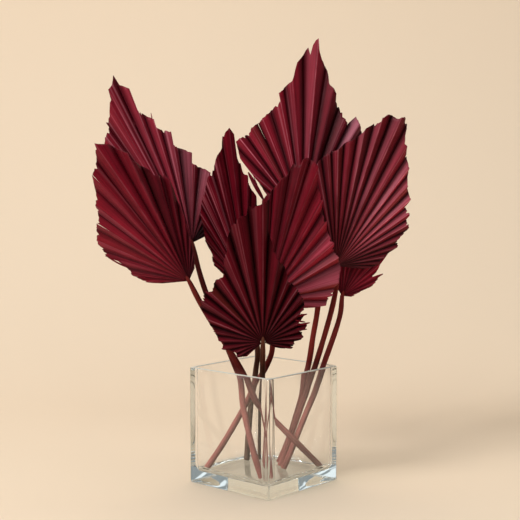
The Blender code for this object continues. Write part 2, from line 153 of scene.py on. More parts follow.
# What only the looks have, where a leaf differs from PLAIN. splits: tears as (angle, where the tear starts,
# how wide it opens). strips: loose strips between two points of the fan, as (angle, length, angle, length,
# width). tone: brightness of the blade over the fan, partly uneven dye and partly painted light and shade on
# the parts that face towards or away from the key light, with a painted shadow on the right of
# leaf_back_left; bloom: a painted highlight on the half pleats that face left, towards the key
# light; both as angle, amount and so on. brown: share of browner half pleats. fibre, valley_shade and
# ridge: how much the pale fibres, the painted shade in the valleys and the pale ridges show. minor: height
# of the fine folds between the pleats at 100 from the base. gloss: shine of the blade. stem: tone of the
# petiole, which took little dye where olive is true.
PLAIN = dict(splits=[], strips=[], valley_shade=0.7, ridge=0.4, minor=0.12, stem=1, olive=False)
LOOKS = {
    "leaf_back_left": dict(
        strips=[(7, 124, 7.8, 135, 1)], brown=0.12, fibre=1.2, valley_shade=0.8, ridge=0.6, minor=0.26,
        gloss=0.08, stem=0.45, tone=(-40, 1.2, 0, 1.45, 40, 1.5, 50, 0.7, 60, 0.25),
        bloom=(-20, 0.1, 5, 0.25, 20, 0.6, 60, 0.5)),
    "leaf_front_left": dict(
        splits=[(-10.5, 118, 0.8), (-24.5, 78, 1), (-28, 92, 0.8)],
        strips=[(-43.8, 62, -43.9, 85, 1.7), (-48.6, 60, -44.3, 82, 1.5), (-62.6, 22.8, -63, 42, 1.5),
                (-59, 36, -55.4, 55, 1.5)],
        brown=0.1, fibre=0.3, ridge=0.25, gloss=0.07, stem=0.62,
        tone=(-60, 1.3, -10, 1.6, 2, 1.2, 12, 0.7), bloom=(-60, 0.25, -20, 0.35, 0, 0.05)),
    "leaf_centre_left": dict(
        brown=0, fibre=1.1, ridge=0.35, minor=0.40, gloss=0.03, olive=True,
        tone=(-30, 1.25, 0, 0.95, 12, 0.6), bloom=(0, 0)),
    "leaf_front_low": dict(
        splits=[(-112, 30, 1), (56, 40, 1.2), (66, 34, 1.2)],
        strips=[(52.8, 39, 59.8, 48.5, 1.9), (63.5, 33, 70.5, 47.5, 1.9), (57, 36, 67.5, 43.5, 1.5),
                (71, 33, 77, 43, 1.7)],
        brown=0.06, fibre=0.3, valley_shade=1.1, ridge=0.8, gloss=0.04, olive=True,
        tone=(-90, 0.85, -40, 0.85, 10, 0.6, 60, 0.65), bloom=(-60, 0.3, -20, 0.15, 0, 0.05)),
    "leaf_centre": dict(
        brown=0.14, fibre=0.4, gloss=0.08,
        tone=(-20, 0.6, -2, 0.95, 14, 1.7, 30, 2.3, 42, 2.4, 90, 2.1),
        bloom=(10, 0, 30, 0.15, 45, 0.65, 90, 0.55)),
    "leaf_top": dict(
        splits=[(-29, 76, 1.2)], strips=[(-54.8, 72, -71.2, 42.5, 4.2), (-54.5, 65, -64.4, 49.3, 1)],
        brown=0.12, fibre=0.5, valley_shade=1, ridge=0.8, minor=0.15, gloss=0.09, stem=1.3,
        tone=(-50, 1.8, -20, 1.6, -4, 1.5, 3, 1.4, 9, 0.8, 16, 0.8, 21, 1.5, 30, 1.7),
        bloom=(-50, 0.1, -15, 0.1, -5, 0.3, 4, 0.35, 9, 0.1, 16, 0.15, 21, 1.6, 30, 2)),
    "leaf_right": dict(
        splits=[(44, 70, 1)], brown=0.06, fibre=0.5, valley_shade=1.08, ridge=1, gloss=0.11, stem=0.85,
        tone=(-30, 1, 0, 1.35, 20, 2.4, 35, 2, 50, 1.15, 70, 0.8),
        bloom=(-20, 0.15, 0, 0.5, 20, 0.9, 35, 0.45, 55, 0.05)),
    "leaf_right_low": dict(
        splits=[(46, 36, 1.2)], brown=0.1, fibre=0.4, gloss=0.06, stem=0.85, tone=(0, 1.7, 40, 2.6),
        bloom=(0, 0.1, 40, 0.15)),
}

# Soft lights: name, place, aim, size, the setting that holds the power, and colour.
CENTRE = (0.0, 0.0, 0.22)
LIGHTS = (
    ("key_left", (-1.85, -1.5, 1.9), CENTRE, (1.05, 1.05), "key", (1.0, 0.985, 0.965)),
    ("fill_right", (1.7, -0.8, 0.8), CENTRE, (1.0, 1.4), "fill", (1.0, 0.97, 0.94)),
    ("top", (0.1, 0.2, 1.9), CENTRE, (1.4, 1.4), "top", (0.90, 0.97, 1.0)),
    ("wall_right", (1.5, 0.1, 1.6), (0.7, 1.1, 0.5), (0.8, 0.8), "wash", (1.0, 0.97, 0.93)),
    ("low_front", (0.0, -1.0, 1.0), (0.0, -0.3, 0.0), (0.6, 0.6), "low", (0.86, 0.95, 1.0)),
)

# Pale strips to the left and right that the glass mirrors, as (y, width), in metres.
SIDE_STRIPS = ((-1.0, 0.10), (-0.68, 0.16), (-0.35, 0.07), (-0.1, 0.20), (0.3, 0.09))
STRIP_REACH, STRIP_HEIGHT, STRIP_ROLL = 2.6, 1.1, math.radians(40)


class PalmLeafSettings(PropertyGroup):
    """Sizes and dye of the leaves."""
    blade_thickness: FloatProperty(
        name="Blade thickness", description="Thickness of the dried blade", default=0.0004, unit="LENGTH")
    petiole_radius: FloatProperty(
        name="Petiole radius", description="Radius of a petiole at its foot", default=0.003, unit="LENGTH")
    foot_gap: FloatProperty(
        name="Foot gap", description="Gap between a petiole's foot and the glass", default=0.00025,
        unit="LENGTH")
    columns: IntProperty(
        name="Columns", description="Columns of faces across half a pleat", default=6, min=2, max=12)
    rows: IntProperty(
        name="Rows", description="Rows of faces along a ray", default=46, min=8, max=90)
    dye: FloatVectorProperty(
        name="Dye", description="Burgundy of the blades", default=(0.162, 0.0042, 0.0132), **COLOUR)
    dye_deep: FloatVectorProperty(
        name="Deep dye", description="Darkest tone between the fibres",
        default=(0.042, 0.0010, 0.0034), **COLOUR)
    brown: FloatVectorProperty(
        name="Brown", description="Faded, browner tone of some half pleats",
        default=(0.085, 0.0110, 0.0075), **COLOUR)
    # Painted highlight: paler pink on the half pleats that face left, towards the key light.
    bloom: FloatVectorProperty(
        name="Bloom", description="Paler, dusty tone of the half pleats that face left",
        default=(0.230, 0.0600, 0.0840), **COLOUR)
    worn: FloatVectorProperty(
        name="Worn", description="Faded tone along ridges and of single fibres",
        default=(0.380, 0.105, 0.135), **COLOUR)
    rim: FloatVectorProperty(
        name="Rim", description="Dry brown along the cut edge", default=(0.040, 0.007, 0.005), **COLOUR)
    petiole_red: FloatVectorProperty(
        name="Petiole", description="Red of the petioles below the blade",
        default=(0.205, 0.0215, 0.0170), **COLOUR)
    # Painted reflection of the glass: the petioles are paler below the vase's rim, where the glass covers
    # them.
    petiole_painted_veil: FloatVectorProperty(
        name="Pale petiole", description="Less dyed red of the petioles' feet",
        default=(0.540, 0.180, 0.145), **COLOUR)
    petiole_olive: FloatVectorProperty(
        name="Olive petiole", description="Brown-green of the undyed petioles",
        default=(0.110, 0.034, 0.020), **COLOUR)
    # Painted reflection of the glass, as above, on the brown-green petioles.
    olive_painted_veil: FloatVectorProperty(
        name="Pale olive petiole", description="Brown-green of the undyed feet",
        default=(0.210, 0.110, 0.075), **COLOUR)


class PalmVaseSettings(PropertyGroup):
    """Sizes of the square glass vase."""
    side: FloatProperty(
        name="Side", description="Outer width of the square vase", default=0.1026, unit="LENGTH")
    height: FloatProperty(
        name="Height", description="Height of the vase", default=0.1129, unit="LENGTH")
    wall: FloatProperty(
        name="Wall", description="Thickness of the walls", default=0.0034, unit="LENGTH")
    base: FloatProperty(
        name="Base", description="Thickness of the heavy base", default=0.011, unit="LENGTH")
    turn: FloatProperty(
        name="Turn", description="Turn about the upright axis", default=math.radians(48.35),
        subtype="ANGLE", unit="ROTATION")
    outer_round: FloatProperty(
        name="Outer rounding", description="Radius of the outer upright edges", default=0.0030, unit="LENGTH")
    inner_round: FloatProperty(
        name="Inner rounding", description="Radius of the inner corners and of the floor's edge",
        default=0.0080, unit="LENGTH")
    tint: FloatVectorProperty(
        name="Tint", description="Colour of the glass", default=(0.52, 0.64, 0.62), **COLOUR)


class PalmStageSettings(PropertyGroup):
    """Camera, backdrop and lights."""
    lens: FloatProperty(
        name="Lens", description="Focal length on a 36 mm sensor, in millimetres", default=82.3)
    eye: FloatVectorProperty(
        name="Camera place", description="Where the camera stands", size=3, subtype="TRANSLATION",
        unit="LENGTH", default=(-0.00364, -1.1406, 0.3044))
    tilt: FloatProperty(
        name="Camera tilt", description="How far the camera looks down", default=math.radians(4.435),
        subtype="ANGLE", unit="ROTATION")
    paper: FloatVectorProperty(
        name="Backdrop", description="Warm beige of the seamless backdrop",
        default=(0.80, 0.655, 0.500), **COLOUR)
    key: FloatProperty(
        name="Key light", description="Power of the large light at the left", default=71.0, unit="POWER")
    fill: FloatProperty(
        name="Fill light", description="Power of the large light at the right", default=4.0, unit="POWER")
    top: FloatProperty(
        name="Top light", description="Power of the light overhead", default=11.0, unit="POWER")
    wash: FloatProperty(
        name="Backdrop light", description="Power of the light on the backdrop's right", default=3.0,
        unit="POWER")
    low: FloatProperty(
        name="Floor light", description="Power of the cool light on the floor in front", default=3.0,
        unit="POWER")
    strips: FloatProperty(
        name="Side strips", description="Power per metre of width of the pale strips that the glass mirrors",
        default=2.8)
    air: FloatProperty(
        name="Air light", description="Strength of the even light all round", default=0.08)
    glow: FloatProperty(
        name="Glass surroundings", description="Brightness of the room seen in the glass", default=0.36)


# Shapes

def unit(v):
    """Vectors along the last axis at length one."""
    v = np.asarray(v, float)
    return v / np.linalg.norm(v, axis=-1, keepdims=True)


class Fan:
    """Smooth fan of rays: point = base + ray(angle) * length + normal(angle) * (height + curl term)."""

    def __init__(self, spec):
        self.base = np.array(spec["base"], float)
        along = np.subtract(spec["tip"], spec["base"])
        self.length = float(np.linalg.norm(along))
        self.axis = unit(along)
        front = np.array([0.0, -1.0, 0.0])
        front = unit(front - self.axis * (front @ self.axis))
        side = np.cross(self.axis, front)
        turn = math.radians(spec["turn"])
        self.side = side * math.cos(turn) - front * math.sin(turn)
        self.face = front * math.cos(turn) + side * math.sin(turn)
        self.fold, self.curl = spec["fold"], spec["curl"]

    def ray(self, angle):
        """cos(a) axis + sin|a| (sign(a) side cos f - face sin f), with a fold f that grows with |a|."""
        angle = np.asarray(angle, float)
        fold = np.radians(np.where(angle < 0, self.fold[0], self.fold[1]))
        fold = fold * np.minimum(1, np.abs(angle) / FOLD_GROWTH)
        swing = np.radians(np.abs(angle))
        across = (np.where(angle < 0, -1.0, 1.0) * np.cos(fold))[..., None] * self.side \
            - np.sin(fold)[..., None] * self.face
        return np.cos(swing)[..., None] * self.axis + np.sin(swing)[..., None] * across

    def normal(self, angle):
        """Unit vector across the ray and the step to the next ray, facing the front."""
        return unit(np.cross(self.ray(angle + 0.5) - self.ray(angle - 0.5), self.ray(angle)))

    def points(self, angle, length, height):
        """base + ray * length + normal * (height + curl * length^2 / blade length), in metres."""
        bend = self.curl * length * length / self.length
        return (self.base + self.ray(angle) * length[..., None]
                + self.normal(angle) * (height + bend)[..., None]) * MM


def edge_at(outline, angle):
    """Cut edge's length at an angle, straight between the outline's points, which may form steps."""
    angles = np.array(outline[::2], float)
    angles[1:] += np.where(np.diff(angles) == 0, 1e-5, 0)
    return np.interp(angle, angles, outline[1::2])


def fold_angles(outline, folds, draw):
    """Angles of the folds of one side, from the middle ray to the last ray of the outline."""
    end = outline[-2]
    if not isinstance(folds, int):
        return [0.0, *folds, end]
    width = end / folds
    steps = [a for a, b in zip(outline[::2], outline[2::2]) if a == b]
    angles = [0.0]
    for k in range(1, folds):
        angle = width * (k + draw.uniform(-0.15, 0.15))
        near = [a for a in steps if abs(a - angle) < width * 0.5]
        angles.append(near[0] if near else angle)
    return angles + [end]


def fan_lines(name, spec):
    """Folds as in the frame: signed angle, rise of the fold per length, and a tooth in the cut edge."""
    draw = random.Random(name)
    lines = []
    for side, sign in enumerate((-1, 1)):
        angles = fold_angles(spec[("left", "right")[side]], spec["folds"][side], draw)
        slope = math.tan(math.radians(spec["tilt"][side]))
        last = len(angles) - 1
        for k, angle in enumerate(angles):
            width = (angles[min(k + 1, last)] - angles[max(k - 1, 0)]) / (2 if 0 < k < last else 1)
            turned = spec.get("crest", 1) * (-1) ** k
            rise = turned * 0.5 * math.radians(width) * slope * draw.uniform(0.85, 1.15)
            tooth = draw.uniform(-0.9, 0.7) if 0 < k < last else 0.0
            if k > 0 or sign > 0:
                lines.append((sign * angle, rise, tooth))
    return np.array(sorted(lines))


def cut_edge(spec, left, right, x, noise):
    """Length of the cut edge over (half pleat, column): the outline at that angle, teeth, fray and nicks.

    A column on a fold reads the outline just inside its own half pleat, so a step stays a step.
    """
    inside = np.clip(x, 0.002, 0.998)
    angle = left[:, :1] + (right[:, :1] - left[:, :1]) * inside
    reach = np.where(angle < 0, edge_at(spec["left"], -angle), edge_at(spec["right"], angle))
    edge = reach - EDGE_INSET + left[:, 2:] * (1 - x) + right[:, 2:] * x
    nick_depth, nick_share, smallest_step = 2.4, 0.10, 0.5
    fray = noise.uniform(-1.0, 0.0, edge.shape) - nick_depth * (noise.random(edge.shape) < nick_share)
    fray[:, 0] = fray[:, -1] = 0.0
    edge += fray
    jump = edge[1:, 0] - edge[:-1, -1]
    meet = np.where(np.abs(jump) < smallest_step, jump * 0.5, 0)
    edge[1:, 0] -= meet
    edge[:-1, -1] += meet
    return edge


def blade_arrays(name, spec, looks, settings):
    """One patch for each half pleat, as arrays over (half pleat, column, row).

    Length runs from the base to the cut edge in even steps and is clipped there, so neighbours share the
    points of their common fold. The height goes from fold to fold in a line that is a little curved,
    grows with the length, and carries a slow wave, a fine ripple and fine folds.
    """
    fan, lines = Fan(spec), fan_lines(name, spec)
    seed = sum(map(ord, name))
    noise = np.random.default_rng(seed)
    halves, columns, rows = len(lines) - 1, settings.columns + 1, settings.rows + 1
    x = np.linspace(0, 1, columns)[None, :, None]
    left, right = lines[:-1], lines[1:]
    middle = (left[:, 0] + right[:, 0]) * 0.5
    edge = cut_edge(spec, left, right, x[:, :, 0], noise)[:, :, None]
    longest = float(edge.max())
    station = BLADE_START + (longest - BLADE_START) * np.linspace(0, 1, rows)[None, None, :]
    length = np.minimum(station, edge)
    share = length / fan.length

    angle = left[:, 0, None, None] + (right[:, 0] - left[:, 0])[:, None, None] * x + 0 * length
    wander = noise.uniform(-0.3, 0.3, len(lines))
    wander[0] = wander[-1] = 0.0
    bend = wander[:-1, None, None] * (1 - x) + wander[1:, None, None] * x
    angle = angle + bend * np.sin(share * 5.0) * share
    for at, start, width in looks["splits"]:
        k = int(np.argmin(np.abs(lines[1:-1, 0] - at)))
        opening = np.clip(length - start, 0, None) / (longest - start + 1) * width / (length + 1)
        opening = np.degrees(opening)
        angle[k] -= opening[k] * x[0] ** 2
        angle[k + 1] += opening[k + 1] * (1 - x[0]) ** 2

    fold = left[:, 1, None, None] * (1 - x) + right[:, 1, None, None] * x
    belly = noise.uniform(-0.10, 0.16, halves)[:, None, None] * np.sin(np.pi * x)
    fold = fold + belly * np.abs(right[:, 1] - left[:, 1])[:, None, None]
    ramp = np.clip((length - BLADE_START) / PLEAT_RAMP, 0, 1)
    height = fold * length * ramp
    wave, ripple = 0.7, 0.10
    phase = noise.uniform(0, 6.28, 3)
    height += wave * share ** 2 * np.sin(np.radians(angle) * 3.0 + phase[0])
    height += ripple * ramp * np.sin(share * 40 + phase[1] + middle[:, None, None] * 1.7)
    minor = np.random.default_rng(seed + 3).uniform(-1, 1, (halves, columns))
    minor[:, 0] = minor[:, -1] = 0.0
    height += looks["minor"] * length / 100 * ramp * minor[:, :, None]

    values = blade_values(lines, looks, x, angle, length, share, edge, noise)
    keep = station[..., :-1] < np.maximum(edge[:, :-1], edge[:, 1:])
    return with_strips(fan, looks["strips"], fan.points(angle, length, height), keep, values)


def blade_values(lines, looks, x, angle, length, share, edge, noise):
    """Attributes over (half pleat, column, row), for the blade's material.

    fan_across and fan_along carry the fibres. to_edge and to_fold are distances, raised marks the ridges
    and valley the valleys, where the material paints shade. tone and brown are the random dye of each half
    pleat. strength is the tone over the fan, partly dye and partly painted light and shade, and falls towards
    the base as painted shade. bloom is a painted highlight on the half pleats that face the key light.
    """
    left, right = lines[:-1], lines[1:]
    halves = len(left)
    middle = (left[:, 0] + right[:, 0]) * 0.5
    # Per half pleat: the tone, partly uneven dye and partly painted light and shade, and the painted
    # highlight.
    dye, highlight_amount = (np.interp(middle, looks[key][::2], looks[key][1::2]) for key in ("tone", "bloom"))
    span = np.radians(right[:, 0] - left[:, 0])[:, None, None]
    tone = noise.normal(0, 1, halves)[:, None, None] + 0 * length
    brown = noise.uniform(0, 1, halves)[:, None, None] + 0 * length
    to_fold = np.minimum(x, 1 - x) * span * length

    sharp = noise.uniform(0.1, 1.0, len(lines)) * (lines[:, 1] > 0)
    raised = np.where(x < 0.5, sharp[:-1, None, None], sharp[1:, None, None])
    raised = raised * np.clip(span * length / 4.0, 0.15, 1)
    # valley marks where the material paints shade into the folds, more strongly near the base.
    low = np.where(left[:, 1] < right[:, 1], 0.0, 1.0)[:, None, None]
    valley = 1 - np.abs(x - low) + 0.35 * np.exp(-length / 30.0)
    valley = np.clip((valley - 0.45) / 0.55, 0, 1)

    # Painted shade: strength, the tone over the fan, falls towards the base.
    strength = dye[:, None, None] * (1 - 0.55 * np.exp(-length / 24.0))
    # Painted highlight: full on the half pleats that face left, towards the key light, and little on the
    # others.
    lit = np.where(right[:, 1] > left[:, 1], 1.0, 0.12) * noise.uniform(0.7, 1.3, halves)
    bloom = (highlight_amount * lit)[:, None, None] + 0 * length
    bloom *= np.clip(share * 2.2, 0, 1) * (1.1 - 0.5 * share)
    return dict(bloom=bloom, strength=strength, fan_across=np.radians(angle) * FIBRE_REACH * MM,
                fan_along=length * MM, tone=tone, brown=brown, to_edge=(edge - length) * MM,
                to_fold=to_fold * MM, raised=raised, valley=valley)


def with_strips(fan, strips, place, keep, values):
    """Adds each loose strip as one more patch: a straight line between two points of the fan.

    The line runs in flat polar coordinates and is widened by width * sin(pi t)^0.5 across itself.
    """
    columns, rows = place.shape[1:3]
    x, t = np.linspace(-0.5, 0.5, columns)[:, None], np.linspace(0.02, 0.98, rows)[None]
    for angle_a, length_a, angle_b, length_b, width in strips:
        a, b = (r * np.exp(1j * math.radians(q)) for q, r in ((angle_a, length_a), (angle_b, length_b)))
        flat = a + (b - a) * t + 1j * (b - a) / abs(b - a) * width * x * np.sqrt(np.sin(np.pi * t))
        angle, length = np.degrees(np.angle(flat)), np.abs(flat)
        patch = fan.points(angle, length, 0.8 * np.sin(t * 4.0) + 0 * x)
        place = np.concatenate([place, patch[None]])
        keep = np.concatenate([keep, np.ones((1, columns - 1, rows - 1), bool)])
        plain = dict(strength=1.0, fan_along=length * MM, fan_across=np.radians(angle) * FIBRE_REACH * MM,
                     to_edge=0.01, to_fold=0.01)
        for key, value in values.items():
            values[key] = np.concatenate([value, np.full((1, columns, rows), plain.get(key, 0.0))])
    return place, keep, values


def grid_faces(shape, keep):
    """Quads to keep, of patches whose points are numbered in order over (patch, column, row)."""
    patches, columns, rows = shape
    index = np.arange(patches * columns * rows).reshape(shape)
    a, b = index[:, :-1, :-1], index[:, 1:, :-1]
    c, d = index[:, 1:, 1:], index[:, :-1, 1:]
    return np.stack([a, b, c, d], -1)[keep]


def tube_faces(shape):
    """Quads between closed rings whose points are numbered in order over (ring, point)."""
    index = np.arange(shape[0] * shape[1]).reshape(shape)
    after = np.roll(index, -1, axis=1)
    return np.stack([index[:-1], after[:-1], after[1:], index[1:]], -1).reshape(-1, 4)


def mesh_object(name, verts, faces):
    """Object at the origin from point and face arrays."""
    mesh = bpy.data.meshes.new(name)
    mesh.from_pydata(verts, [], faces)
    mesh.validate()
    obj = bpy.data.objects.new(name, mesh)
    bpy.context.scene.collection.objects.link(obj)
    return obj


def finish_surface(obj, distance, sharp):
    """Joins points that lie together, turns the faces one way and smooths them up to an angle in degrees."""
    work = bmesh.new()
    work.from_mesh(obj.data)
    bmesh.ops.remove_doubles(work, verts=work.verts, dist=distance)
    loose = [v for v in work.verts if not v.link_faces]
    bmesh.ops.delete(work, geom=loose, context="VERTS")
    bmesh.ops.recalc_face_normals(work, faces=work.faces)
    work.to_mesh(obj.data)
    work.free()
    obj.data.shade_smooth()
    obj.data.set_sharp_from_angle(angle=math.radians(sharp))


def smooth_path(points, step):
    """Points about one step apart along a Catmull-Rom curve through the given points."""
    pts = [np.array(p, float) for p in points]
    pts = [2 * pts[0] - pts[1]] + pts + [2 * pts[-1] - pts[-2]]
    out = []
    for p0, p1, p2, p3 in zip(pts, pts[1:], pts[2:], pts[3:]):
        count = max(1, round(float(np.linalg.norm(p2 - p1)) / step))
        t = (np.arange(count) / count)[:, None]
        out.append(0.5 * (2 * p1 + (p2 - p0) * t + (2 * p0 - 5 * p1 + 4 * p2 - p3) * t * t
                          + (3 * p1 - p0 - 3 * p2 + p3) * t ** 3))
    return np.vstack(out + [pts[-2][None]])


def petiole_arrays(name, spec, settings, floor):
    """Tube about the petiole's path: radius * taper * (slightly flattened, ribbed circle), with closed ends.

    The path's last point is set first, so that the foot's lowest edge stands foot_gap above the floor.
    """
    fan = Fan(spec)
    noise = np.random.default_rng(sum(map(ord, name)) + 7)
    radius = settings.petiole_radius / MM
    stem = [list(p) for p in spec["stem"]]
    end_step = 17.0
    for _ in range(4):
        coarse = smooth_path([spec["base"]] + stem, end_step)
        lean = math.sqrt(1.0 - unit(coarse[-1] - coarse[-2])[2] ** 2)
        stem[-1][2] = floor + settings.foot_gap / MM + radius * lean
    path = smooth_path([spec["base"]] + stem, PATH_STEP)
    inside = 5
    lead = fan.points(np.zeros(inside), np.linspace(13, 2.5, inside), np.linspace(-2.4, -0.5, inside)) / MM
    path = np.vstack([lead, path])
    run = np.r_[0, np.cumsum(np.linalg.norm(np.diff(path, axis=0), axis=1))]
    tangent = unit(np.gradient(path, axis=0))
    right = unit(np.cross(tangent, (0, 1, 0)))
    front = np.cross(right, tangent)
    turn = np.linspace(0, 2 * np.pi, PETIOLE_SIDES, endpoint=False)
    taper = np.interp(run, [0, 8, 14, 24, run[-1]], [0.15, 0.42, 0.72, 0.86, 1.0])
    taper = taper * (1 + 0.025 * np.sin(run / 9 + noise.uniform(0, 6)) + 0.018 * np.sin(run / 3.7))
    shape = 0.965 + 0.03 * np.cos(2 * turn + 0.6) + 0.008 * np.cos(9 * turn)
    ring = right[:, None] * np.cos(turn)[None, :, None] + front[:, None] * np.sin(turn)[None, :, None]
    place = path[:, None] + ring * (radius * taper[:, None] * shape[None])[..., None]
    ends = np.repeat(path[[0, -1], None], PETIOLE_SIDES, 1)
    place = np.concatenate([ends[:1], place, ends[1:]])
    along = np.r_[run[0], run, run[-1]][:, None] + 0 * turn[None]
    around = turn[None] * radius + 0 * along
    # foot: painted reflection of the glass, paler from about the vase's rim down.
    veil_below, fading = 116.0, 26.0
    foot = np.clip((veil_below - place[..., 2]) / fading, 0, 1)
    values = dict(fan_across=around * MM, fan_along=along * MM, foot=foot)
    return place.reshape(-1, 3) * MM, tube_faces(place.shape[:2]), values


def square_ring(half, corner):
    """Closed ring of a square with rounded corners, as (x, y): straight sides and quarter arcs in turn."""
    arc = np.linspace(0, np.pi / 2, CORNER_POINTS)
    corner = np.minimum(corner, half)
    out = []
    for quarter in range(4):
        x = half - corner + corner * np.cos(arc)
        y = half - corner + corner * np.sin(arc)
        c, s = math.cos(quarter * np.pi / 2), math.sin(quarter * np.pi / 2)
        out.append(np.stack([c * x - s * y, s * x + c * y], -1))
    return np.vstack(out)


def vase_arrays(s):
    """Rounded square carried up the outside, over the rim and down the inside, closed at both centres.

    Each row of the profile is (half width, corner radius, height): quarter and half circles between lines.
    """
    half, inner, corner = s.side / 2, s.side / 2 - s.wall, s.inner_round
    arc = np.linspace(0, np.pi / 2, 9)
    foot, rim = 0.0012, s.wall * 0.5
    shoulder, bowl = s.height - rim * 0.7, s.base + corner
    rows = [(POLE, POLE, 0.0), (half * 0.5, 0.001, 0.0)]
    rows += [(half - foot + foot * math.sin(t), s.outer_round, foot - foot * math.cos(t)) for t in arc]
    rows += [(half, s.outer_round, z) for z in np.linspace(foot, shoulder, 6)[1:-1]]
    rows += [(half - rim + rim * math.cos(t), s.outer_round + (corner - s.outer_round) * t / math.pi,
              shoulder + rim * 0.7 * math.sin(t)) for t in np.linspace(0, np.pi, 17)]
    rows += [(inner, corner, z) for z in np.linspace(shoulder, bowl, 6)[1:-1]]
    rows += [(inner - corner + corner * math.cos(t), 0.0002 + corner * math.cos(t),
              bowl - corner * math.sin(t)) for t in arc]
    rows += [(inner * 0.5, 0.0001, s.base), (POLE, POLE, s.base)]
    place = np.array([np.c_[square_ring(a, b), np.full(4 * CORNER_POINTS, z)] for a, b, z in rows])
    c, q = math.cos(s.turn), math.sin(s.turn)
    x, y = place[..., 0].copy(), place[..., 1].copy()
    place[..., 0], place[..., 1] = c * x - q * y, q * x + c * y
    return place.reshape(-1, 3), tube_faces(place.shape[:2])


def backdrop_arrays():
    """Seamless sheet: flat floor, a quarter round and an upright wall, swept straight across."""
    front, bend, radius, top, half_width, below = -2.6, 0.35, 0.75, 3.4, 4.0, 0.0003
    turn = np.linspace(0, np.pi / 2, 24)
    y = np.r_[front, bend, bend + radius * np.sin(turn), bend + radius]
    z = np.r_[0, 0, radius - radius * np.cos(turn), top]
    x = np.linspace(-half_width, half_width, 9)
    place = np.stack(np.broadcast_arrays(x[None, :], y[:, None], z[:, None] - below), -1)
    index = np.arange(place.shape[0] * len(x)).reshape(place.shape[:2])
    faces = np.stack([index[:-1, :-1], index[:-1, 1:], index[1:, 1:], index[1:, :-1]], -1).reshape(-1, 4)
    return place.reshape(-1, 3), faces


# Materials

def connect(tree, value, socket):
    """Links an output to a socket, or sets the socket to a number or to red, green and blue."""
    if isinstance(value, bpy.types.NodeSocket):
        tree.links.new(value, socket)
    else:
        socket.default_value = [*value, 1.0] if socket.type == "RGBA" else value


def feed(tree, made, **inputs):
    """Connects a node's inputs, named with _ for a space."""
    for key, value in inputs.items():
        connect(tree, value, made.inputs[key.replace("_", " ")])


def node(tree, kind, properties=None, **inputs):
    """New shader node with its properties and inputs, and its outputs."""
    made = tree.nodes.new(kind)
    for key, value in (properties or {}).items():
        setattr(made, key, value)
    feed(tree, made, **inputs)
    return made.outputs


def math_node(tree, operation, *values):
    """Math node on sockets or numbers, and its output."""
    made = tree.nodes.new("ShaderNodeMath")
    made.operation = operation
    for k, value in enumerate(values):
        connect(tree, value, made.inputs[k])
    return made.outputs[0]


def weighted_sum(tree, start, *parts):
    """start + the sum of socket * share over the parts, each (socket, share)."""
    for socket, share in parts:
        start = math_node(tree, "MULTIPLY_ADD", socket, share, start)
    return start


def mix_colour(tree, factor, a, b):
    """Mix of two colours by a factor, each a socket or a value."""
    made = tree.nodes.new("ShaderNodeMix")
    made.data_type = "RGBA"
    for k, value in ((0, factor), (6, a), (7, b)):
        connect(tree, value, made.inputs[k])
    return made.outputs[2]


def ramp_map(tree, value, out_low, out_high, low=0.0, high=1.0):
    """Value carried from the range low to high to another range, clamped."""
    return node(tree, "ShaderNodeMapRange", Value=value, From_Min=low, From_Max=high, To_Min=out_low,
                To_Max=out_high)[0]


def fibre_group():
    """Long dried fibres: noise stretched along the leaf, in a coordinate of metres across and along."""
    if FIBRE_GROUP in bpy.data.node_groups:
        return bpy.data.node_groups[FIBRE_GROUP]
    tree = bpy.data.node_groups.new(FIBRE_GROUP, "ShaderNodeTree")
    for name in ("Across", "Along", "Seed"):
        tree.interface.new_socket(name, in_out="INPUT", socket_type="NodeSocketFloat")
    for name in ("Fibre", "Vein", "Mottle", "Thread"):
        tree.interface.new_socket(name, in_out="OUTPUT", socket_type="NodeSocketFloat")
    start, end = tree.nodes.new("NodeGroupInput").outputs, tree.nodes.new("NodeGroupOutput")

    def noise(across, along, detail, rough):
        place = node(tree, "ShaderNodeCombineXYZ", X=math_node(tree, "MULTIPLY", start["Across"], across),
                     Y=math_node(tree, "MULTIPLY", start["Along"], along), Z=start["Seed"])[0]
        return node(tree, "ShaderNodeTexNoise", Vector=place, Scale=1.0, Detail=detail, Roughness=rough)[0]

    feed(tree, end, Fibre=ramp_map(tree, noise(2600.0, 22.0, 3.0, 0.6), 0.0, 1.0, 0.32, 0.68),
         Vein=ramp_map(tree, noise(820.0, 9.0, 2.0, 0.5), 0.0, 1.0, 0.35, 0.65),
         Mottle=ramp_map(tree, noise(110.0, 45.0, 4.0, 0.55), 0.0, 1.0, 0.3, 0.7),
         Thread=noise(560.0, 3.0, 1.0, 0.5))
    return tree


def attribute(tree, name):
    """Factor of one of the piece's own point attributes."""
    return node(tree, "ShaderNodeAttribute", dict(attribute_name=name))["Fac"]


def place_fibres(tree, seed):
    """Fibre group on the piece's own coordinates, and its outputs Fibre, Vein, Mottle and Thread."""
    return node(tree, "ShaderNodeGroup", dict(node_tree=fibre_group()), Seed=seed,
                Across=attribute(tree, "fan_across"), Along=attribute(tree, "fan_along"))


def bump(tree, height, strength):
    """Normal from a height."""
    return node(tree, "ShaderNodeBump", Strength=strength, Distance=0.0003, Height=height)[0]


def mix_surface(tree, factor, shader, other):
    """Surface that goes from the shader to another one by a factor."""
    mix = tree.nodes.new("ShaderNodeMixShader")
    for k, socket in enumerate((factor, shader.outputs[0], other[0])):
        connect(tree, socket, mix.inputs[k])
    feed(tree, tree.nodes["Material Output"], Surface=mix.outputs[0])


def new_material(name, **inputs):
    """Material with its tree and its Principled shader, whose inputs are set by name."""
    mat = bpy.data.materials.new(name)
    mat.use_nodes = True
    shader = mat.node_tree.nodes["Principled BSDF"]
    feed(mat.node_tree, shader, **inputs)
    return mat, mat.node_tree, shader


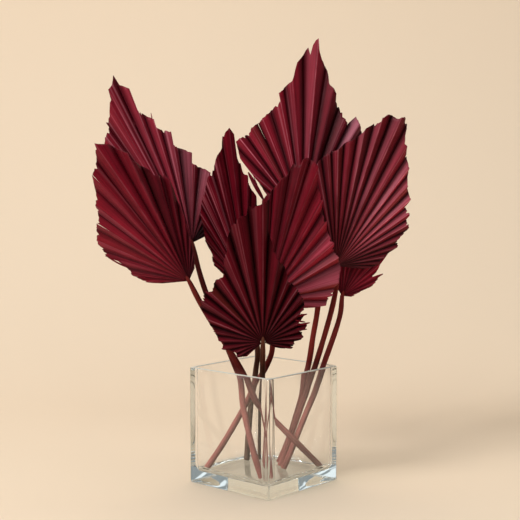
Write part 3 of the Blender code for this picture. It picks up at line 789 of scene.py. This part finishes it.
def blade_material(name, settings, looks, seed):
    """Dyed blade: fibres and veins, its own tone for each half pleat, pale fibres, faded folds, dark rim, and
    painted light and shade: the tone over the fan, a painted highlight on the half pleats that face the key
    light and painted shade in the valleys.
    """
    mat, tree, shader = new_material(name, Specular_IOR_Level=looks["gloss"])
    fibre, vein, mottle, thread = place_fibres(tree, seed)
    tone = attribute(tree, "tone")
    body = weighted_sum(tree, 0.22, (fibre, 0.30), (vein, 0.34), (tone, 0.16), (mottle, 0.20))
    colour = mix_colour(tree, body, settings.dye_deep, settings.dye)

    low = 1.0 - looks["brown"]
    fade = ramp_map(tree, attribute(tree, "brown"), 0.0, 0.8, low, min(low + 0.15, 1.0))
    colour = mix_colour(tree, fade, colour, settings.brown)
    # Painted highlight: paler pink on the half pleats that face the key light, streaked by the veins.
    bloom = ramp_map(tree, vein, 0.55, 1.15)
    bloom = math_node(tree, "MULTIPLY", bloom, attribute(tree, "bloom"))
    colour = mix_colour(tree, bloom, colour, settings.bloom)

    fold_width, rim_width, pale = 0.00065, 0.0010, looks["fibre"]
    ridge = ramp_map(tree, attribute(tree, "to_fold"), 1.0, 0.0, 0.0, fold_width)
    ridge = math_node(tree, "MULTIPLY", ridge, attribute(tree, "raised"))
    worn = ramp_map(tree, mottle, 0.4 * looks["ridge"], 1.3 * looks["ridge"], 0.1, 0.9)
    colour = mix_colour(tree, math_node(tree, "MULTIPLY", ridge, worn), colour, settings.worn)
    thread = ramp_map(tree, thread, 0.0, 0.50 * min(pale, 1.0), 0.67 - 0.08 * pale, 0.72 - 0.04 * pale)
    colour = mix_colour(tree, thread, colour, settings.worn)
    rim = ramp_map(tree, attribute(tree, "to_edge"), 0.30, 0.0, 0.0, rim_width)
    colour = mix_colour(tree, rim, colour, settings.rim)

    # Painted shade: darker in the valleys. strength, the tone over the fan with its painted light and shade,
    # scales the colour too.
    valley = ramp_map(tree, attribute(tree, "valley"), 1.0, 1 - 0.75 * looks["valley_shade"], 0.0, 0.8)
    valley = math_node(tree, "MULTIPLY", attribute(tree, "strength"), valley)
    dyed = node(tree, "ShaderNodeVectorMath", dict(operation="SCALE"), Vector=colour, Scale=valley)[0]
    feed(tree, shader, Base_Color=dyed, Roughness=ramp_map(tree, fibre, 0.34, 0.46),
         Normal=bump(tree, weighted_sum(tree, fibre, (vein, 0.9)), 0.5))
    return mat


def petiole_material(name, top, foot, seed):
    """Dried petiole: matte, streaked along its length, darker in its grooves, and paler below the vase's rim
    as a painted reflection of the glass.
    """
    mat, tree, shader = new_material(name, Specular_IOR_Level=0.08)
    _, vein, mottle, _ = place_fibres(tree, seed)
    dark, light = (mix_colour(tree, attribute(tree, "foot"), [c * a for c in top], [c * b for c in foot])
                   for a, b in ((0.4, 0.45), (1.25, 1.25)))
    body = weighted_sum(tree, 0.12, (vein, 0.45), (mottle, 0.45))
    feed(tree, shader, Base_Color=mix_colour(tree, body, dark, light),
         Roughness=ramp_map(tree, vein, 0.50, 0.68), Normal=bump(tree, vein, 0.6))
    return mat


def glass_material(tint):
    """Clear glass, faintly tinted in its depth, that lets light through to what stands behind it."""
    mat, tree, shader = new_material(
        "clear_vase_glass", Base_Color=(1.0, 1.0, 1.0), Roughness=0.0, IOR=GLASS_IOR, Transmission_Weight=1.0)
    clear = node(tree, "ShaderNodeBsdfTransparent", Color=(0.93, 0.94, 0.93))
    mix_surface(tree, node(tree, "ShaderNodeLightPath")["Is Shadow Ray"], shader, clear)
    depth = node(tree, "ShaderNodeVolumeAbsorption", Color=tint, Density=4.5)[0]
    feed(tree, tree.nodes["Material Output"], Volume=depth)
    return mat


def rim_material():
    """Ground and polished rim: a little cloudy, and pale as a painted highlight along the rim."""
    return new_material("polished_glass_rim", Base_Color=(0.76, 0.78, 0.72), Roughness=0.30, IOR=GLASS_IOR,
                        Transmission_Weight=0.45)[0]


def paper_material(colour):
    """Matte seamless paper, very slightly uneven, and clear from behind so that every side can be seen."""
    mat, tree, shader = new_material("beige_paper", Roughness=0.9, Specular_IOR_Level=0.2)
    place = node(tree, "ShaderNodeTexCoord")["Object"]
    noise = node(tree, "ShaderNodeTexNoise", Vector=place, Scale=1.3, Detail=2.0)[0]
    feed(tree, shader, Base_Color=mix_colour(tree, noise, [c * 0.97 for c in colour], colour))
    mix_surface(tree, node(tree, "ShaderNodeNewGeometry")["Backfacing"], shader,
                node(tree, "ShaderNodeBsdfTransparent"))
    return mat


# Operators

def set_attributes(obj, values):
    """Stores arrays as float attributes on the points."""
    for name, array in values.items():
        layer = obj.data.attributes.new(name, "FLOAT", "POINT")
        layer.data.foreach_set("value", np.ravel(array).astype(np.float32))


class PALM_OT_blades(Operator):
    """Makes the eight pleated blades."""
    bl_idname = "palm.blades"
    bl_label = "Pleated blades"

    def execute(self, context):
        """Surface from arrays, then thickness, for each leaf's node."""
        settings = context.scene.palm_leaf
        for order, (name, spec) in enumerate(LEAVES.items()):
            looks = PLAIN | LOOKS[name]
            place, keep, values = blade_arrays(name, spec, looks, settings)
            obj = mesh_object(name + "_blade", place.reshape(-1, 3), grid_faces(place.shape[:3], keep))
            set_attributes(obj, values)
            finish_surface(obj, 2e-6, 24)
            thick = obj.modifiers.new("thickness", "SOLIDIFY")
            thick.thickness = settings.blade_thickness
            thick.offset = 0.0
            obj.data.materials.append(blade_material(name + "_dye", settings, looks, order * 3.1))
            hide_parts(name)
            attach(obj, "root")
        return {"FINISHED"}


class PALM_OT_petioles(Operator):
    """Makes the eight petioles, from inside each blade down to the vase's floor."""
    bl_idname = "palm.petioles"
    bl_label = "Petioles"

    def execute(self, context):
        """Tube from arrays, closed at both ends."""
        settings, vase = context.scene.palm_leaf, context.scene.palm_vase
        for order, (name, spec) in enumerate(LEAVES.items()):
            verts, faces, values = petiole_arrays(name, spec, settings, vase.base / MM)
            obj = mesh_object(name + "_petiole", verts, faces)
            set_attributes(obj, values)
            finish_surface(obj, 1e-6, 50)
            looks = PLAIN | LOOKS[name]
            # foot holds the colours with the painted reflection of the glass below the rim.
            top, foot = ((settings.petiole_olive, settings.olive_painted_veil) if looks["olive"] else
                         (settings.petiole_red, settings.petiole_painted_veil))
            top = [c * looks["stem"] for c in top]
            obj.data.materials.append(petiole_material(name + "_petiole_skin", top, foot, order * 5.3))
            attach(obj, "root")
        return {"FINISHED"}


class PALM_OT_vase(Operator):
    """Makes the square glass vase."""
    bl_idname = "palm.vase"
    bl_label = "Glass vase"

    def execute(self, context):
        """One closed wall with rounded edges, and a paler material on its rim, partly a painted highlight."""
        settings = context.scene.palm_vase
        verts, faces = vase_arrays(settings)
        obj = mesh_object("square_vase", verts, faces)
        rim_share = 0.22
        rim = verts[faces].mean(axis=1)[:, 2] > settings.height - settings.wall * rim_share
        obj.data.polygons.foreach_set("material_index", rim.astype(np.int32))
        finish_surface(obj, 3e-5, 35)
        obj.data.materials.append(glass_material(settings.tint))
        obj.data.materials.append(rim_material())
        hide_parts("vase")
        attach(obj, "root")
        return {"FINISHED"}


def soft_light(name, place, aim, size, power, colour, roll=0.0):
    """Rectangular light that looks at its aim, turned by roll about that line."""
    data = bpy.data.lights.new(name, "AREA")
    data.shape = "RECTANGLE"
    data.size, data.size_y = size
    data.energy = power
    data.color = colour
    lamp = bpy.data.objects.new(name, data)
    lamp.location = place
    look = unit(np.subtract(aim, place))
    turn = Matrix.Rotation(math.atan2(look[1], look[0]) - math.pi / 2, 3, "Z")
    turn = turn @ Matrix.Rotation(math.acos(-look[2]), 3, "X") @ Matrix.Rotation(roll, 3, "Z")
    lamp.rotation_euler = turn.to_euler()
    bpy.context.scene.collection.objects.link(lamp)


def studio_air(settings):
    """World: faint even light, pale blue where the glass shows the room, and beige behind the object."""
    world = bpy.data.worlds.new("even_studio_air")
    world.use_nodes = True
    tree = world.node_tree
    rays = node(tree, "ShaderNodeLightPath")
    air = [c * settings.air for c in (1.0, 0.97, 0.93)]
    glow = [c * settings.glow for c in (0.85, 0.95, 1.0)]
    sky = mix_colour(tree, rays["Is Singular Ray"], air, glow)
    sky = mix_colour(tree, rays["Is Camera Ray"], sky, (0.82, 0.65, 0.48))
    feed(tree, tree.nodes["Background"], Color=sky)
    return world


class PALM_OT_stage(Operator):
    """Makes the backdrop, the lights and the camera."""
    bl_idname = "palm.stage"
    bl_label = "Backdrop, lights and camera"

    def execute(self, context):
        """Seamless paper, soft lights, side strips, the world, how light is followed, and the camera."""
        scene, settings = context.scene, context.scene.palm_stage
        verts, faces = backdrop_arrays()
        paper = mesh_object("seamless_paper", verts, faces)
        paper.data.shade_smooth()
        paper.data.materials.append(paper_material(settings.paper))

        for name, place, aim, size, power, colour in LIGHTS:
            soft_light(name, place, aim, size, getattr(settings, power), colour)
        for side, turn in (("left", -1), ("right", 1)):
            for k, (y, width) in enumerate(SIDE_STRIPS):
                soft_light("strip_%s_%d" % (side, k), (STRIP_REACH * turn, y, 0.45), (0.0, y * 0.4, 0.1),
                           (width, STRIP_HEIGHT), settings.strips * width, (0.92, 0.97, 1.0), STRIP_ROLL)

        scene.world = studio_air(settings)
        scene.view_settings.view_transform = "Standard"
        scene.view_settings.look = "None"
        cycles = scene.cycles
        cycles.max_bounces = cycles.transmission_bounces = 32
        cycles.glossy_bounces = 16
        cycles.caustics_refractive = cycles.caustics_reflective = False

        data = bpy.data.cameras.new("front_camera")
        data.lens = settings.lens
        data.sensor_width = 36.0
        data.clip_start = 0.02
        camera = bpy.data.objects.new("front_camera", data)
        camera.location = settings.eye
        camera.rotation_euler = (math.pi / 2 - settings.tilt, 0.0, 0.0)
        scene.collection.objects.link(camera)
        scene.camera = camera
        return {"FINISHED"}


class PALM_PT_panel(Panel):
    """Lists the operators in the sidebar."""
    bl_idname = "PALM_PT_panel"
    bl_label = "Fan palm leaves in a vase"
    bl_space_type = "VIEW_3D"
    bl_region_type = "UI"
    bl_category = "Palm"

    def draw(self, context):
        """Buttons in the order in which the pieces are made."""
        for operator in OPERATORS:
            self.layout.operator(operator.bl_idname)


SETTINGS = (("palm_leaf", PalmLeafSettings), ("palm_vase", PalmVaseSettings),
            ("palm_stage", PalmStageSettings))
OPERATORS = (PALM_OT_vase, PALM_OT_blades, PALM_OT_petioles, PALM_OT_stage)


def register():
    """Registers the settings, operators and panel."""
    for name, group in SETTINGS:
        bpy.utils.register_class(group)
        setattr(bpy.types.Scene, name, PointerProperty(type=group))
    for cls in OPERATORS + (PALM_PT_panel,):
        bpy.utils.register_class(cls)


def unregister():
    """Removes them again."""
    for cls in (PALM_PT_panel,) + OPERATORS:
        bpy.utils.unregister_class(cls)
    for name, group in SETTINGS:
        delattr(bpy.types.Scene, name)
        bpy.utils.unregister_class(group)


def main():
    """Makes every piece in order."""
    register()
    bpy.ops.palm.vase()
    bpy.ops.palm.blades()
    bpy.ops.palm.petioles()
    bpy.ops.palm.stage()


if __name__ == "__main__":
    main()
